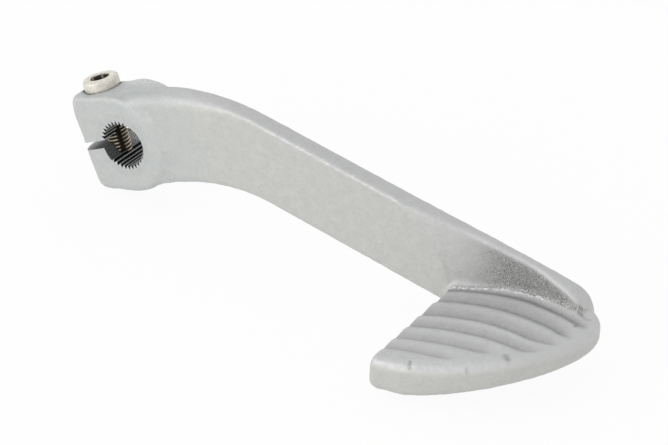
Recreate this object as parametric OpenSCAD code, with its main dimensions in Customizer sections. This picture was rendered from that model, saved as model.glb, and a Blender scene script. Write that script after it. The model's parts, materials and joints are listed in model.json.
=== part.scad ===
// Kick-start lever with a splined clamp hub, a flat curved arm and a ribbed foot pad,
// and the socket-head screw that pinches the hub onto its shaft. Millimetres and degrees.
// Origin: on the shaft axis, half way through the hub. Y runs along the shaft, from the
// outer face (-Y, the side the foot pad stands on) to the engine side (+Y).

/* [Hub] */
// Outer radius of the round hub
hub_r = 14.2; // [13:0.1:17]
// Depth of the hub along the shaft
hub_depth = 14.2; // [12:0.2:20]
// Width of the bevel round the hub's two rims
hub_bevel = 1.2; // [0.4:0.1:1.6]

/* [Spline] */
// Diameter over the roots of the serrations
spline_root_d = 14.3; // [13:0.1:15]
// Diameter over the tips of the serrations
spline_tip_d = 12.1; // [11:0.1:12.6]
// Teeth in a full turn
spline_teeth = 32; // [24:1:40]
// Arc without teeth below the clamp slot
plain_arc = 33; // [22:1:60]

/* [Clamp] */
// Lean of the clamp slot from level
jaw_lean = 24; // [15:0.5:30]
// Distance from the shaft axis to the end face of the upper jaw, along the slot
jaw_reach = 13.8; // [12.8:0.1:15]
// Extra reach of the lower jaw
jaw_flare = 1; // [0:0.1:2]
// Height of the upper jaw above the shaft axis, square to the slot
jaw_top = 15.3; // [14:0.1:16]
// Depth of the lower jaw below the shaft axis, square to the slot
jaw_bottom = 12.3; // [11:0.1:14]
// Radius of the jaws' outer corners
jaw_corner = 3.2; // [1.6:0.1:5]
// Width of the clamp slot
slot_w = 2.2; // [1.4:0.1:3]
// Height of the slot's middle above the shaft axis
slot_rise = 1.1; // [0:0.1:1.5]

/* [Clamp screw] */
// Thread diameter of the clamp screw
screw_d = 6; // [5:0.5:6]
// Thread pitch
screw_pitch = 1; // [0.8:0.1:1.25]
// Length under the head
screw_length = 20; // [16:1:22]
// Diameter of the head
head_d = 10; // [8.5:0.1:10.2]
// Height of the head
head_h = 6; // [5:0.1:7]
// Width across the flats of the hexagon socket
socket_af = 5; // [4:0.5:5]
// Depth of the hexagon socket
socket_depth = 3.2; // [2:0.1:4]
// Lean of the screw from upright
screw_lean = 17.7; // [14:0.1:24]
// Distance of the screw from the shaft axis
screw_offset = 7.7; // [7.3:0.1:8]
// Height of the seat under the head above the shaft axis
seat_h = 11.2; // [10:0.1:12]
// Gap round the head in its pocket
pocket_gap = 0.4; // [0.2:0.1:0.5]
// Gap round the thread in its hole
screw_gap = 0.1; // [0.06:0.01:0.2]

/* [Arm] */
// Thickness of the arm
arm_t = 6; // [5:0.1:8]
// Height of the arm's straight part
arm_w = 22.4; // [18:0.2:26]
// Step from the hub's outer face back to the arm's outer face
arm_step = 0.4; // [0.2:0.1:2]
// Radius of the arm's edges
arm_edge = 2.1; // [1:0.1:2.4]
// Droop of the straight part
arm_drop = 11.3; // [6:0.1:16]
// Reach from the shaft axis to the end of the arm
arm_reach = 142; // [130:0.5:160]
// Radius of the upper corner at the arm's end
arm_corner = 6; // [3:0.5:8]

/* [Foot pad] */
// Distance of the pad's heel edge before the end of the arm
pad_length = 39; // [32:0.5:46]
// Width of the pad, out from the arm's outer face
pad_width = 37; // [30:0.5:44]
// Rise of the tread towards the tip
tread_rise = 8.5; // [0:0.5:14]
// Thickness of the pad at the heel
heel_t = 8.9; // [6:0.1:11]
// Thickness of the pad at the tip
tip_t = 5.3; // [4:0.1:7]
// Lean of the pad's side walls, outwards at the heel
wall_lean = 13; // [0:1:16]
// Overhang of the tip past the end of the arm
tip_over = 4.4; // [2:0.1:8]
// Number of grooves across the tread
grooves = 6; // [3:1:6]
// Distance from rib to rib
rib_pitch = 6.3; // [5:0.1:7]
// Height of the ribs above their grooves
rib_h = 1; // [0.4:0.1:1.6]
// Bend radius of the ribs, seen from above
rib_bend_r = 50; // [40:1:90]

/* [Web pocket] */
// Radius of the edge where the arm's face starts to fall away above the pad
pocket_edge_r = 29; // [27:0.5:31]
// Depth of the hollow in the arm where it meets the tread
pocket_depth = 3.8; // [1:0.1:4.4]
// Depth of the hollow at the arm's upper edge
pocket_top_depth = 2.1; // [0.6:0.1:3]
// Length over which the hollow reaches its full depth
pocket_run = 15; // [8:0.5:24]

/* [Hidden] */
$fn = 96;
pass = 1;                                   // cuts run this far past a face
fine = 0.01;                                // overlap that joins faces

face_y = -hub_depth / 2;                    // outer face of the hub
arm_front = face_y + arm_step;              // outer face of the arm
arm_back = arm_front + arm_t;
arm_steps = 22;                             // stations along each bend
edge_steps = 5;                             // facets round each edge of the arm

// bend from the hub to the straight part of the arm: upper and lower edge
bend_x = 49.4;
bend_z = 8;                                 // centre line of the arm at bend_x
along = [cos(arm_drop), -sin(arm_drop)];
across = [sin(arm_drop), cos(arm_drop)];
bend_top = [bend_x, bend_z] + across * arm_w / 2;
bend_low = [bend_x, bend_z] - across * arm_w / 2;
crown = [34, 21.8];                         // highest stretch of the upper edge
crown_drop = 2.3;
brow = polar(hub_r - 0.3, 90 + jaw_lean);   // upper edge's start, just inside the hub
throat = polar(hub_r - 0.3, -46);           // lower edge's start

heel_x = arm_reach - pad_length;
heel_z = arm_z(heel_x) - 4.8;
rib_mid_x = heel_x + 15.6;
first_groove = arm_front + 1.2;             // grooves bulge towards the arm
pad_front = arm_front - pad_width;

jaw_axis = polar(1, 90 + jaw_lean);
screw_r = screw_d / 2;
thread_h = 0.54 * screw_pitch;
pocket_r = head_d / 2 + pocket_gap;

function polar(r, a) = [r * cos(a), r * sin(a)];
function bez(p, t) = pow(1 - t, 3) * p[0] + 3 * t * pow(1 - t, 2) * p[1]
    + 3 * t * t * (1 - t) * p[2] + pow(t, 3) * p[3];
function arm_z(x) = bend_z - (x - bend_x) * tan(arm_drop);

// upper and lower edge of the arm, each from the hub (0) to the straight part (1)
upper_bend = [brow, brow + polar(17, jaw_lean), crown - polar(15, -crown_drop), crown];
upper_run = [crown, crown + polar(5, -crown_drop), bend_top - 5 * along, bend_top];
lower_bend = [throat, throat + polar(13, 27), bend_low - 14 * along, bend_low];
function upper(t) = t < 0.75 ? bez(upper_bend, t / 0.75) : bez(upper_run, (t - 0.75) / 0.25);

// one cross-section of the arm between a low and a high point, pulled in all round by inset
function arm_ring(low, high, inset) =
    let (up = (high - low) / norm(high - low), r = arm_edge - inset * arm_edge / (arm_t / 2),
         a = low + up * (inset + r), b = high - up * (inset + r),
         y0 = arm_front + inset + r, y1 = arm_back - inset - r)
    [for (c = [[a, y0, 180], [a, y1, 270], [b, y1, 0], [b, y0, 90]])
     for (i = [0:edge_steps])
        let (w = c[2] + i * 90 / edge_steps, q = c[0] + up * r * sin(w))
        [q[0], c[1] + r * cos(w), q[1]]];

// closed skin over a row of rings with equal counts
module skin(rings) {
    n = len(rings[0]);
    m = len(rings);
    polyhedron(
        points = [for (ring = rings) for (p = ring) p],
        faces = concat(
            [[for (i = [0:n - 1]) i]],
            [for (k = [0:m - 2]) for (i = [0:n - 1])
                let (j = (i + 1) % n) each [[k * n + j, k * n + i, (k + 1) * n + i],
                                            [k * n + j, (k + 1) * n + i, (k + 1) * n + j]]],
            [[for (i = [n - 1:-1:0]) (m - 1) * n + i]]));
}

// extrudes a shape drawn in X and Z from y0 to y1
module slab(y0, y1) {
    translate([0, y1, 0]) rotate([90, 0, 0]) linear_extrude(y1 - y0) children();
}

// puts its children in the frame of the screw: Z along the screw, zero at the seat
module at_screw() {
    rotate([0, -screw_lean, 0]) translate([-screw_offset, 0, seat_h]) children();
}

// puts its children in the frame of the tread: X up the slope from the heel edge
module at_tread() {
    translate([heel_x, 0, heel_z]) rotate([0, -tread_rise, 0]) children();
}

// outline of the hub and its jaws, pulled in all round by inset
module hub_shape(inset) {
    rotate(jaw_lean) hull() {
        translate([jaw_corner - jaw_reach, jaw_top - jaw_corner])
            circle(jaw_corner - inset, $fn = 32);
        translate([jaw_corner - jaw_reach - jaw_flare, jaw_corner - jaw_bottom])
            circle(jaw_corner - inset, $fn = 32);
        circle(hub_r - inset);
    }
}

module hub() {
    hull() {
        slab(face_y + hub_bevel, -face_y - hub_bevel) hub_shape(0);
        slab(face_y, -face_y) hub_shape(hub_bevel);
    }
}

module arm() {
    reach_top = bend_top + along * (arm_reach - arm_corner - bend_top[0]) / cos(arm_drop);
    reach_low = bend_low + along * (arm_reach - arm_corner - bend_low[0]) / cos(arm_drop);
    skin(concat(
        [for (i = [0:arm_steps]) arm_ring(bez(lower_bend, i / arm_steps), upper(i / arm_steps), 0)],
        [for (i = [0:edge_steps])
            let (w = i * 80 / edge_steps, out = arm_corner * sin(w) * along)
            arm_ring(reach_low + out, reach_top + out - arm_corner * (1 - cos(w)) * across,
                     arm_edge * 0.9 * (1 - cos(w)))]));
}

// outline of the pad seen from above, in the frame of the tread
pad_end = arm_reach - heel_x + tip_over;
front_curve = [[3.6, pad_front], [23, pad_front - 0.4], [pad_end + 0.6, pad_front + 16],
               [pad_end, pad_front + 30]];
tip_curve = [[pad_end, pad_front + 30], [pad_end - 0.4, arm_front - 1],
             [pad_end - 4, arm_back - 3], [pad_end - 9, arm_back - 1]];
module pad_shape() {
    polygon(concat(
        [[0, arm_back - 1], [0, pad_front + 3.4], [1, pad_front + 0.9]],
        [for (i = [0:14]) bez(front_curve, i / 14)],
        [for (i = [1:8]) bez(tip_curve, i / 8)]));
}

module pad() {
    at_tread() multmatrix([[1, 0, tan(wall_lean), 0], [0, 1, 0, 0], [0, 0, 1, 0], [0, 0, 0, 1]])
        difference() {
            translate([0, 0, -heel_t - pass]) linear_extrude(heel_t + pass) pad_shape();
            for (i = [0:grooves - 1]) groove(first_groove - rib_pitch * i);
        }
}

// everything under the pad's sloping underside
module under_pad() {
    at_tread() translate([0, 0, -heel_t]) rotate([0, -atan((heel_t - tip_t) / pad_end), 0])
        translate([-10, pad_front - 10, -20]) cube([pad_end + 30, pad_width + 30, 20]);
}

// one groove between two round-topped ribs, bent about a centre in front of it; y is where
// it comes nearest to the arm
module groove(y) {
    half = rib_pitch / 2;
    round_r = (half * half + rib_h * rib_h) / (2 * rib_h);
    crest = asin(0.4 / round_r);
    valley = asin(half / round_r);
    flank = [for (k = [0:6]) let (a = crest + (valley - crest) * k / 6)
        [round_r * sin(a) - half, round_r * (cos(a) - 1)]];
    translate([rib_mid_x - heel_x, y - rib_bend_r, 0])
        rotate([0, 0, 50]) rotate_extrude(angle = 80) translate([rib_bend_r, 0])
            polygon(concat(
                [[flank[0][0], 1]], flank,
                [for (k = [5:-1:0]) [-flank[k][0], flank[k][1]]],
                [[-flank[0][0], 1]]));
}

// toothed bore with a smooth strip on the lower side of the slot
module bore() {
    tip_r = spline_tip_d / 2;
    root_r = spline_root_d / 2;
    step = 360 / spline_teeth;
    slot_a = 180 + jaw_lean;
    strip_end = slot_a + plain_arc;
    teeth = floor((360 - plain_arc - 4) / step);
    slab(face_y - pass, pass - face_y) polygon(concat(
        [for (k = [0:8]) polar(root_r, slot_a - 3 + (plain_arc + 3) * k / 8)],
        [for (i = [0:teeth - 1]) let (a = strip_end + (i + 0.5) * step)
            each [polar(tip_r, a - 0.42 * step), polar(root_r, a), polar(tip_r, a + 0.42 * step)]]));
}

module clamp_slot() {
    slab(face_y - pass, pass - face_y) rotate(jaw_lean)
        translate([-jaw_reach - 4, slot_rise - slot_w / 2]) square([jaw_reach + 4, slot_w]);
}

module screw_hole() {
    at_screw() {
        translate([0, 0, -seat_h * 2 - jaw_bottom]) cylinder(h = seat_h * 2 + jaw_bottom + fine,
                                                            r = screw_r + screw_gap);
        cylinder(h = head_h + 4, r = pocket_r);
    }
}

// hollow in the arm's outer face above the pad: it falls away from a round edge to a back
// wall that leans, deepest at the tread and shallower at the arm's upper edge
module web_pocket() {
    cx = heel_x - pocket_edge_r;
    cz = heel_z - 7.3;
    lean = atan((pocket_depth - pocket_top_depth) / 15);
    at_tread() difference() {
        rotate([lean, 0, 0]) translate([-22.5, arm_front - 10, -0.4])
            cube([20 + pad_length, pocket_depth + 10, 60]);
        rotate([0, tread_rise, 0]) translate([cx - heel_x, arm_front, cz - heel_z])
            rotate([-90, 0, 0]) cylinder(h = pocket_run, r1 = pocket_edge_r,
                                         r2 = pocket_edge_r + pocket_run * pocket_run / pocket_depth);
        rotate([0, tread_rise, 0]) translate([cx - heel_x, arm_front + fine, cz - heel_z])
            rotate([90, 0, 0]) cylinder(h = 20, r = pocket_edge_r);
    }
}

module kick_lever() {
    color([0.76, 0.77, 0.77]) difference() {
        union() {
            hub();
            difference() {
                union() {
                    difference() {
                        arm();
                        web_pocket();
                    }
                    pad();
                }
                under_pad();
            }
        }
        bore();
        clamp_slot();
        screw_hole();
    }
}

module clamp_screw() {
    turns = floor((screw_length - 1) / screw_pitch);
    root_r = screw_r - thread_h;
    color([0.86, 0.84, 0.76]) at_screw() {
        difference() {
            rotate_extrude() polygon([[0, 0], [head_d / 2 - 0.3, 0], [head_d / 2, 0.3],
                [head_d / 2, head_h - 0.8], [head_d / 2 - 0.8, head_h], [0, head_h]]);
            translate([0, 0, head_h - socket_depth])
                cylinder(h = socket_depth + pass, r = socket_af / 2 / cos(30), $fn = 6);
        }
        rotate_extrude() polygon(concat(
            [[0, fine], [root_r, fine]],
            [for (i = [0:turns - 1]) for (p = [[root_r, -i - 0.5], [screw_r, -i - 0.9],
                [screw_r, -i - 1.05]]) [p[0], p[1] * screw_pitch]],
            [[root_r, -(turns + 0.45) * screw_pitch], [root_r, 0.6 - screw_length],
             [root_r - 0.6, -screw_length], [0, -screw_length]]));
    }
}

kick_lever();
clamp_screw();
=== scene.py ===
# Kick-start lever: cast alloy lever with a serrated clamp hub and a ribbed foot pad, and the
# plated socket screw that pinches the hub on its shaft. Shapes are worked out in millimetres
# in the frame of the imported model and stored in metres.
import json
import math

import bpy
import numpy as np
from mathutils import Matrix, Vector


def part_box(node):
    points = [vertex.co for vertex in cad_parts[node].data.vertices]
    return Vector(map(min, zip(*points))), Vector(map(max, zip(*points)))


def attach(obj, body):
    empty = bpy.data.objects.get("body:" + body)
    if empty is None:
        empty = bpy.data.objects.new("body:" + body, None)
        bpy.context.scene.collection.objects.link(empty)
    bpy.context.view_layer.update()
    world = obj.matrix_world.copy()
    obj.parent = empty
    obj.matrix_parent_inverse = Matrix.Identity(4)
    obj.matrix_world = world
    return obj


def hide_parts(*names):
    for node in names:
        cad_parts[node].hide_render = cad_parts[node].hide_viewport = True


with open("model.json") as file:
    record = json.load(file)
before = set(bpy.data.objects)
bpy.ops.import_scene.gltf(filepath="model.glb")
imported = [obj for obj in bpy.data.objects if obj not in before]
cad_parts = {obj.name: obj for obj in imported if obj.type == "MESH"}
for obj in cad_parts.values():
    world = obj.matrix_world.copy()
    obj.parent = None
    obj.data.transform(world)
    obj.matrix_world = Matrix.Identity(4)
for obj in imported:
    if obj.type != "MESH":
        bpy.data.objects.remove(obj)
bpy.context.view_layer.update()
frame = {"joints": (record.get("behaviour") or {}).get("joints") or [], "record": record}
leverLow, leverHigh = [np.array(corner) * 1000 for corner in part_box("kick_lever")]
boreSize = next(m for m in frame["record"]["mounts"] if m["name"] == "spline_bore")["dims"]
screwAxis = next(j for j in frame["joints"] if j["name"] == "screw_out")["axis"]
print("frame loaded, lever box", leverLow.round(1), leverHigh.round(1))


def ease(low, high, value):
    # s = clamp((v - low) / (high - low)), result s * s * (3 - 2 s)
    s = np.clip((value - low) / (high - low), 0, 1)
    return s * s * (3 - 2 * s)


def hump(value, centre, width):
    # exp(-((v - centre) / width)^2)
    return np.exp(-((value - centre) / width) ** 2)


def turnOf(degrees):
    # cosine and sine of an angle
    return math.cos(math.radians(degrees)), math.sin(math.radians(degrees))


def slopeOf(degrees):
    return math.tan(math.radians(degrees))


def bezier(p, t):
    # (1 - t)^3 p0 + 3 t (1 - t)^2 p1 + 3 t^2 (1 - t) p2 + t^3 p3
    p, t = np.array(p, float), np.asarray(t, float)[..., None]
    return (1 - t) ** 3 * p[0] + 3 * t * (1 - t) ** 2 * p[1] + 3 * t * t * (1 - t) * p[2] + t ** 3 * p[3]


def through(points, t, closed=False):
    # Catmull-Rom spline through the points, t from 0 to 1 over the whole row:
    # (2 b + (c - a) f + (2 a - 5 b + 4 c - d) f^2 + (3 b - a - 3 c + d) f^3) / 2
    p = np.array(points, float)
    n = len(p)
    spans = n if closed else n - 1
    s = np.clip(np.asarray(t, float) * spans, 0, spans - 1e-9)
    i = s.astype(int)
    f = (s - i)[..., None]
    pick = (lambda k: p[k % n]) if closed else (lambda k: p[np.clip(k, 0, n - 1)])
    a, b, c, d = pick(i - 1), pick(i), pick(i + 1), pick(i + 2)
    square, cube = (2 * a - 5 * b + 4 * c - d) * f ** 2, (3 * b - a - 3 * c + d) * f ** 3
    return 0.5 * (2 * b + (c - a) * f + square + cube)


def ripple(points, wavelength, seed, waves=28):
    # 0.6 sqrt(2 / N) * sum of sin(2 pi d_i . p / w_i + phase_i): plane waves in random
    # directions, wavelengths within 30% of the given one; about -1 to 1
    rng = np.random.default_rng(seed)
    d = rng.normal(size=(waves, 3))
    d /= np.linalg.norm(d, axis=1)[:, None]
    d *= 2 * np.pi / (wavelength * rng.uniform(0.7, 1.3, waves))[:, None]
    phase = rng.uniform(0, 2 * np.pi, waves)
    total = np.zeros(len(points))
    for k in range(waves):
        total += np.sin(points @ d[k] + phase[k])
    return total * math.sqrt(2 / waves) * 0.6


def meshFrom(name, points, quads, triangles):
    # points in mm to a mesh in metres, faces given as rows of point numbers
    mesh = bpy.data.meshes.new(name)
    mesh.vertices.add(len(points))
    mesh.vertices.foreach_set("co", (np.asarray(points) * 0.001).astype(np.float32).ravel())
    corners = np.concatenate([np.ravel(quads), np.ravel(triangles)]).astype(np.int32)
    starts = np.concatenate([np.arange(len(quads)) * 4, len(quads) * 4 + np.arange(len(triangles)) * 3])
    mesh.loops.add(len(corners))
    mesh.loops.foreach_set("vertex_index", corners)
    mesh.polygons.add(len(starts))
    mesh.polygons.foreach_set("loop_start", starts.astype(np.int32))
    mesh.update(calc_edges=True)
    mesh.validate()
    return mesh


def closedSkin(name, rows):
    # rows[i, j]: point j round row i. Rows are closed rings; the first and the last row are
    # closed by a fan to their middle
    m, n = rows.shape[:2]
    points = np.concatenate([rows.reshape(-1, 3), rows[0].mean(0)[None], rows[-1].mean(0)[None]])
    i, j = np.meshgrid(np.arange(m - 1), np.arange(n), indexing="ij")
    k = (j + 1) % n
    quads = np.stack([i * n + j, i * n + k, (i + 1) * n + k, (i + 1) * n + j], -1).reshape(-1, 4)
    ring = np.arange(n)
    follow = (ring + 1) % n
    first = np.stack([follow, ring, np.full(n, m * n)], -1)
    last = np.stack([(m - 1) * n + ring, (m - 1) * n + follow, np.full(n, m * n + 1)], -1)
    return meshFrom(name, points, quads, np.concatenate([first, last]))


def newObject(name, data):
    piece = bpy.data.objects.new(name, data)
    bpy.context.scene.collection.objects.link(piece)
    return piece


def read(items, key, width, kind=np.float32):
    # a row of numbers for each point, edge or face
    values = np.empty(len(items) * width, kind)
    items.foreach_get(key, values)
    return values.reshape(-1, width)


def coordinates(mesh):
    return read(mesh.vertices, "co", 3).astype(float) * 1000


def setCoordinates(mesh, points):
    mesh.vertices.foreach_set("co", (points * 0.001).astype(np.float32).ravel())
    mesh.update()


def normals(mesh):
    return read(mesh.vertex_normals, "vector", 3).astype(float)


def edgeEnds(mesh):
    return read(mesh.edges, "vertices", 2, np.int32)


def trianglesOf(mesh):
    mesh.calc_loop_triangles()
    return read(mesh.loop_triangles, "vertices", 3, np.int32)


def outward(mesh):
    # turns the faces round if the signed volume, sum of a . (b x c) / 6, is negative
    a, b, c = read(mesh.vertices, "co", 3)[trianglesOf(mesh)].transpose(1, 0, 2)
    if np.einsum("ij,ij->", a, np.cross(b, c)) < 0:
        mesh.flip_normals()


def applied(piece):
    # the piece keeps its mesh with the modifiers applied
    shaped = piece.evaluated_get(bpy.context.evaluated_depsgraph_get())
    mesh = bpy.data.meshes.new_from_object(shaped)
    piece.modifiers.clear()
    piece.data = mesh


def relax(points, ends, weight, rounds):
    # each point moves by weight towards the mean of its neighbours: p += w (mean(q) - p)
    a, b = ends.T
    n = len(points)
    count = np.bincount(a, minlength=n) + np.bincount(b, minlength=n)
    around = lambda v: np.bincount(a, v[b], n) + np.bincount(b, v[a], n)
    for _ in range(rounds):
        mean = np.stack([around(points[:, k]) for k in range(3)], 1)
        points = points + weight[:, None] * (mean / count[:, None] - points)
    return points


def turned(profile, steps):
    # profile (radius, z) carried round Z: (r cos a, r sin a, z)
    a = np.arange(steps) * 2 * math.pi / steps
    profile = np.array(profile, float)
    r, z = profile[:, :1], profile[:, 1:]
    return np.stack([r * np.cos(a), r * np.sin(a), np.broadcast_to(z, (len(profile), steps))], -1)


def alongShaft(rows, centre):
    # rows made round Z laid round the shaft's direction Y, moved to a centre in X and Z
    return np.stack([rows[..., 0] + centre[0], rows[..., 2], rows[..., 1] + centre[1]], -1)


def inwardOf(outline):
    # unit vector into a closed outline at each point: its tangent turned by a quarter
    tangent = np.roll(outline, -1, 0) - np.roll(outline, 1, 0)
    inward = np.stack([-tangent[:, 1], tangent[:, 0]], -1)
    return inward / np.linalg.norm(inward, axis=1)[:, None]


hub = {
    "outerFace": -boreSize["length_mm"] / 2, "engineFace": boreSize["length_mm"] / 2,
    # radii of the rims, with the angle round the hub where each is full and how far it spreads
    "rimRound": 1.5,
    "topRound": 3.3, "topRoundAt": (52, 36),
    "backTopRound": 5.0, "backTopRoundAt": (122, 30),
    "earBulge": 2.9, "earAt": (204, 28),
    # mid-depth outline in X and Z, from the arm side over the top
    "outline": [(14.2, 0), (13.4, 4.7), (11.4, 8.5), (8.2, 11.6), (4.2, 13.6), (0, 14.25),
                (-4.0, 13.8), (-8.0, 12.6), (-11.6, 11.4), (-14.8, 10.6), (-16.8, 9.6), (-17.4, 7.6),
                (-17.0, 4.6), (-15.8, 1.4), (-14.5, -1.2), (-13.5, -3.8), (-12.5, -6.6),
                (-11.4, -9.8), (-10.4, -12.6), (-9.4, -14.8), (-7.9, -15.8), (-5.4, -15.8),
                (-2.0, -14.9), (1.6, -14.1), (5.0, -13.1), (8.2, -11.5), (11.2, -8.8), (13.3, -4.9)],
    # boss on the engine side, blending into the back of the arm
    "bossCentre": (2.2, 0.95), "bossRadius": 14.1, "bossRound": 2.6, "bossFrom": -3, "bossDepth": 6.9,
}


def hubBlank():
    # ring j of row i: outline(j) moved inwards by inset(i, j), at depth(i, j); the inset is a
    # quarter circle at each rim, of a radius that grows towards the top. The clamp's ears swell
    # round the screw by bulge * (1 - (2 depth / width)^2)
    outline = through(hub["outline"], np.arange(360) / 360, closed=True)
    angle = np.degrees(np.arctan2(outline[:, 1], outline[:, 0]))
    r = hub["rimRound"] + (hub["topRound"] - hub["rimRound"]) * hump(angle, *hub["topRoundAt"])
    b = hub["rimRound"] + (hub["backTopRound"] - hub["rimRound"]) * hump(angle, *hub["backTopRoundAt"])
    a = np.linspace(0, math.pi / 2, 10)[:, None]
    front = hub["outerFace"] + r * (1 - np.cos(a))
    back = hub["engineFace"] - b * (1 - np.cos(a[::-1]))
    across = np.linspace(0, 1, 9)[1:-1, None]
    between = front[-1:] * (1 - across) + back[:1] * across
    inset = np.concatenate([r * (1 - np.sin(a)), between * 0, b * (1 - np.sin(a[::-1]))])
    depth = np.concatenate([front, between, back])
    ring = outline[None] + inwardOf(outline)[None] * inset[..., None]
    swell = hub["earBulge"] * (1 - (depth / hub["engineFace"]) ** 2) * hump(angle % 360, *hub["earAt"])
    return closedSkin("hubBlank", np.stack([ring[..., 0] - swell, depth, ring[..., 1]], -1))


def bossBlank():
    # circle whose radius shrinks in a quarter circle towards the engine side
    a = np.linspace(0, math.pi / 2, 12)
    radius, r = hub["bossRadius"], hub["bossRound"]
    rim = zip(radius - r * (1 - np.cos(a)), hub["bossDepth"] - r * (1 - np.sin(a)))
    rows = turned([(radius, hub["bossFrom"]), *rim], 120)
    return closedSkin("bossBlank", alongShaft(rows, hub["bossCentre"]))


arm = {
    "outerFace": -6.7, "innerFace": -0.7, "drop": 11.3, "reach": 140.8, "endCorner": 6.5,
    # edges in X and Z. The bends end at this share of the arm, and the crown at this one of them
    "bendEnd": 0.4, "crownAt": 0.75,
    "upperBend": [(-5.65, 12.7), (9.88, 19.61), (19.01, 22.4), (34, 21.8)],
    "upperRun": [(34, 21.8), (39, 21.6), (46.69, 19.96), (51.6, 18.98)],
    "lowerBend": [(9.66, -10), (21.24, -4.5), (33.48, -0.62), (47.2, -2.85)],
    "frontTopRound": 1.0, "hubFrontRound": 3.9, "pocketFrontRound": 1.9,
    "backTopRound": 2.0, "lowRound": 1.9, "endRound": 2.6,
}


def armEdges(t):
    # lower and upper edge of the arm at t: Bezier bends up to bendEnd, then straight lines
    c, s = turnOf(arm["drop"])
    along = np.array([c, -s])
    bend = np.clip(t / arm["bendEnd"], 0, 1)
    low = bezier(arm["lowerBend"], bend)
    crown = bezier(arm["upperBend"], np.clip(bend / arm["crownAt"], 0, 1))
    fall = bezier(arm["upperRun"], np.clip((bend - arm["crownAt"]) / (1 - arm["crownAt"]), 0, 1))
    high = np.where((bend < arm["crownAt"])[:, None], crown, fall)
    further = np.clip((t - arm["bendEnd"]) / (1 - arm["bendEnd"]), 0, 1)[:, None]
    lowRun = (arm["reach"] - arm["lowerBend"][3][0]) / c
    highRun = (arm["reach"] - arm["upperRun"][3][0]) / c
    return low + along * lowRun * further, high + along * highRun * further


def armTopAt(x):
    # height of the arm's upper edge at x
    high = armEdges(np.linspace(0, 1, 300))[1]
    return np.interp(x, high[:, 0], high[:, 1])


def armFrontRound(x):
    # wide where the arm leaves the hub, tight along its run, wider again beside the pocket
    run = arm["frontTopRound"]
    return (run + (arm["hubFrontRound"] - run) * (1 - ease(20, 44, x))
            + (arm["pocketFrontRound"] - run) * ease(92, 106, x))


def quarterCut(fromEnd, radius):
    # how far a quarter circle cuts in near an end: r - sqrt(r^2 - (r - d)^2)
    cutIn = radius - np.sqrt(np.clip(radius ** 2 - (radius - fromEnd) ** 2, 0, None))
    return np.where(fromEnd < radius, cutIn, 0)[:, None]


def armBlank():
    # section at t: a rectangle between the two edges with four rounded corners, drawn thinner
    # where the pocket is: y' = y + depth * (innerFace - y) / thickness; the upper end corner is
    # cut back by a quarter circle, and nothing reaches below the pad's underside
    bendEnd, nearEnd = arm["bendEnd"], 0.97
    t = np.concatenate([np.linspace(0, bendEnd, 100), np.linspace(bendEnd, nearEnd, 190)[1:],
                        np.linspace(nearEnd, 1, 30)[1:]])
    low, high = armEdges(t)
    up = (high - low) / np.linalg.norm(high - low, axis=1)[:, None]
    fromEnd = arm["reach"] - high[:, 0]
    high = high - up * quarterCut(fromEnd, arm["endCorner"])
    thin = quarterCut(fromEnd, arm["endRound"])
    a = np.linspace(0, math.pi / 2, 7)
    sides = []
    for atTop, outer in ((False, True), (False, False), (True, False), (True, True)):
        topRound = armFrontRound(high[:, :1]) if outer else arm["backTopRound"]
        r = topRound if atTop else arm["lowRound"]
        angle = a if atTop != outer else a[::-1]
        inside = r * (1 - np.sin(angle)) + thin                     # away from the edge
        behind = r * (1 - np.cos(angle)) + thin                     # away from the face
        y = arm["outerFace"] + behind if outer else arm["innerFace"] - behind
        at, inward = (high, -up) if atTop else (low, up)
        x, z = at[:, :1] + inward[:, :1] * inside, at[:, 1:] + inward[:, 1:] * inside
        sides.append(np.stack([x, y, z], -1))
    across = np.linspace(0, 1, 50)[1:-1, None]
    sides.append(sides[3][:, -1:] * (1 - across) + sides[0][:, :1] * across)
    rows = np.concatenate(sides, 1)
    share = (arm["innerFace"] - rows[..., 1]) / (arm["innerFace"] - arm["outerFace"])
    rows[..., 1] += pocketDepth(rows[..., 0], rows[..., 2]) * np.clip(share, 0, 1)
    rows[..., 2] = np.maximum(rows[..., 2], padUnder(rows[..., 0]))
    return closedSkin("armBlank", rows)


pocket = {
    "edgeCentre": (74.0, -14.8), "edgeRadius": 29.0, "step": 0.18, "run": 15.0, "soft": 0.35,
    "depth": 3.8, "topDepth": 2.1, "height": 15.0,
    "startX": (75, 81), "endX": (121.5, 140.5), "foot": (-1.6, -0.4),
}


def pocketDepth(x, z):
    # small step at the round edge, then a ramp (r - edgeRadius) * depth / run, no deeper than a wall
    # that leans from the tread to the arm's upper edge, and running out towards the end
    cx, cz = pocket["edgeCentre"]
    beyond = np.hypot(x - cx, z - cz) - pocket["edgeRadius"]
    slope = beyond * pocket["depth"] / pocket["run"]
    aboveTread = (z - pad["heelZ"]) - (x - pad["heelX"]) * slopeOf(pad["rise"])
    lean = pocket["depth"] - pocket["topDepth"]
    wall = pocket["depth"] - lean * np.clip(aboveTread, 0, 20) / pocket["height"]
    soft = pocket["soft"]
    both = -soft * np.log(np.exp(-np.clip(slope, 0, 9) / soft) + np.exp(-wall / soft))
    deep = (np.maximum(both, 0) + pocket["step"] * ease(0, 0.7, beyond)) * (slope > 0)
    along = ease(*pocket["startX"], x) * (1 - ease(*pocket["endX"], x))
    return deep * along * ease(*pocket["foot"], aboveTread)


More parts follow.
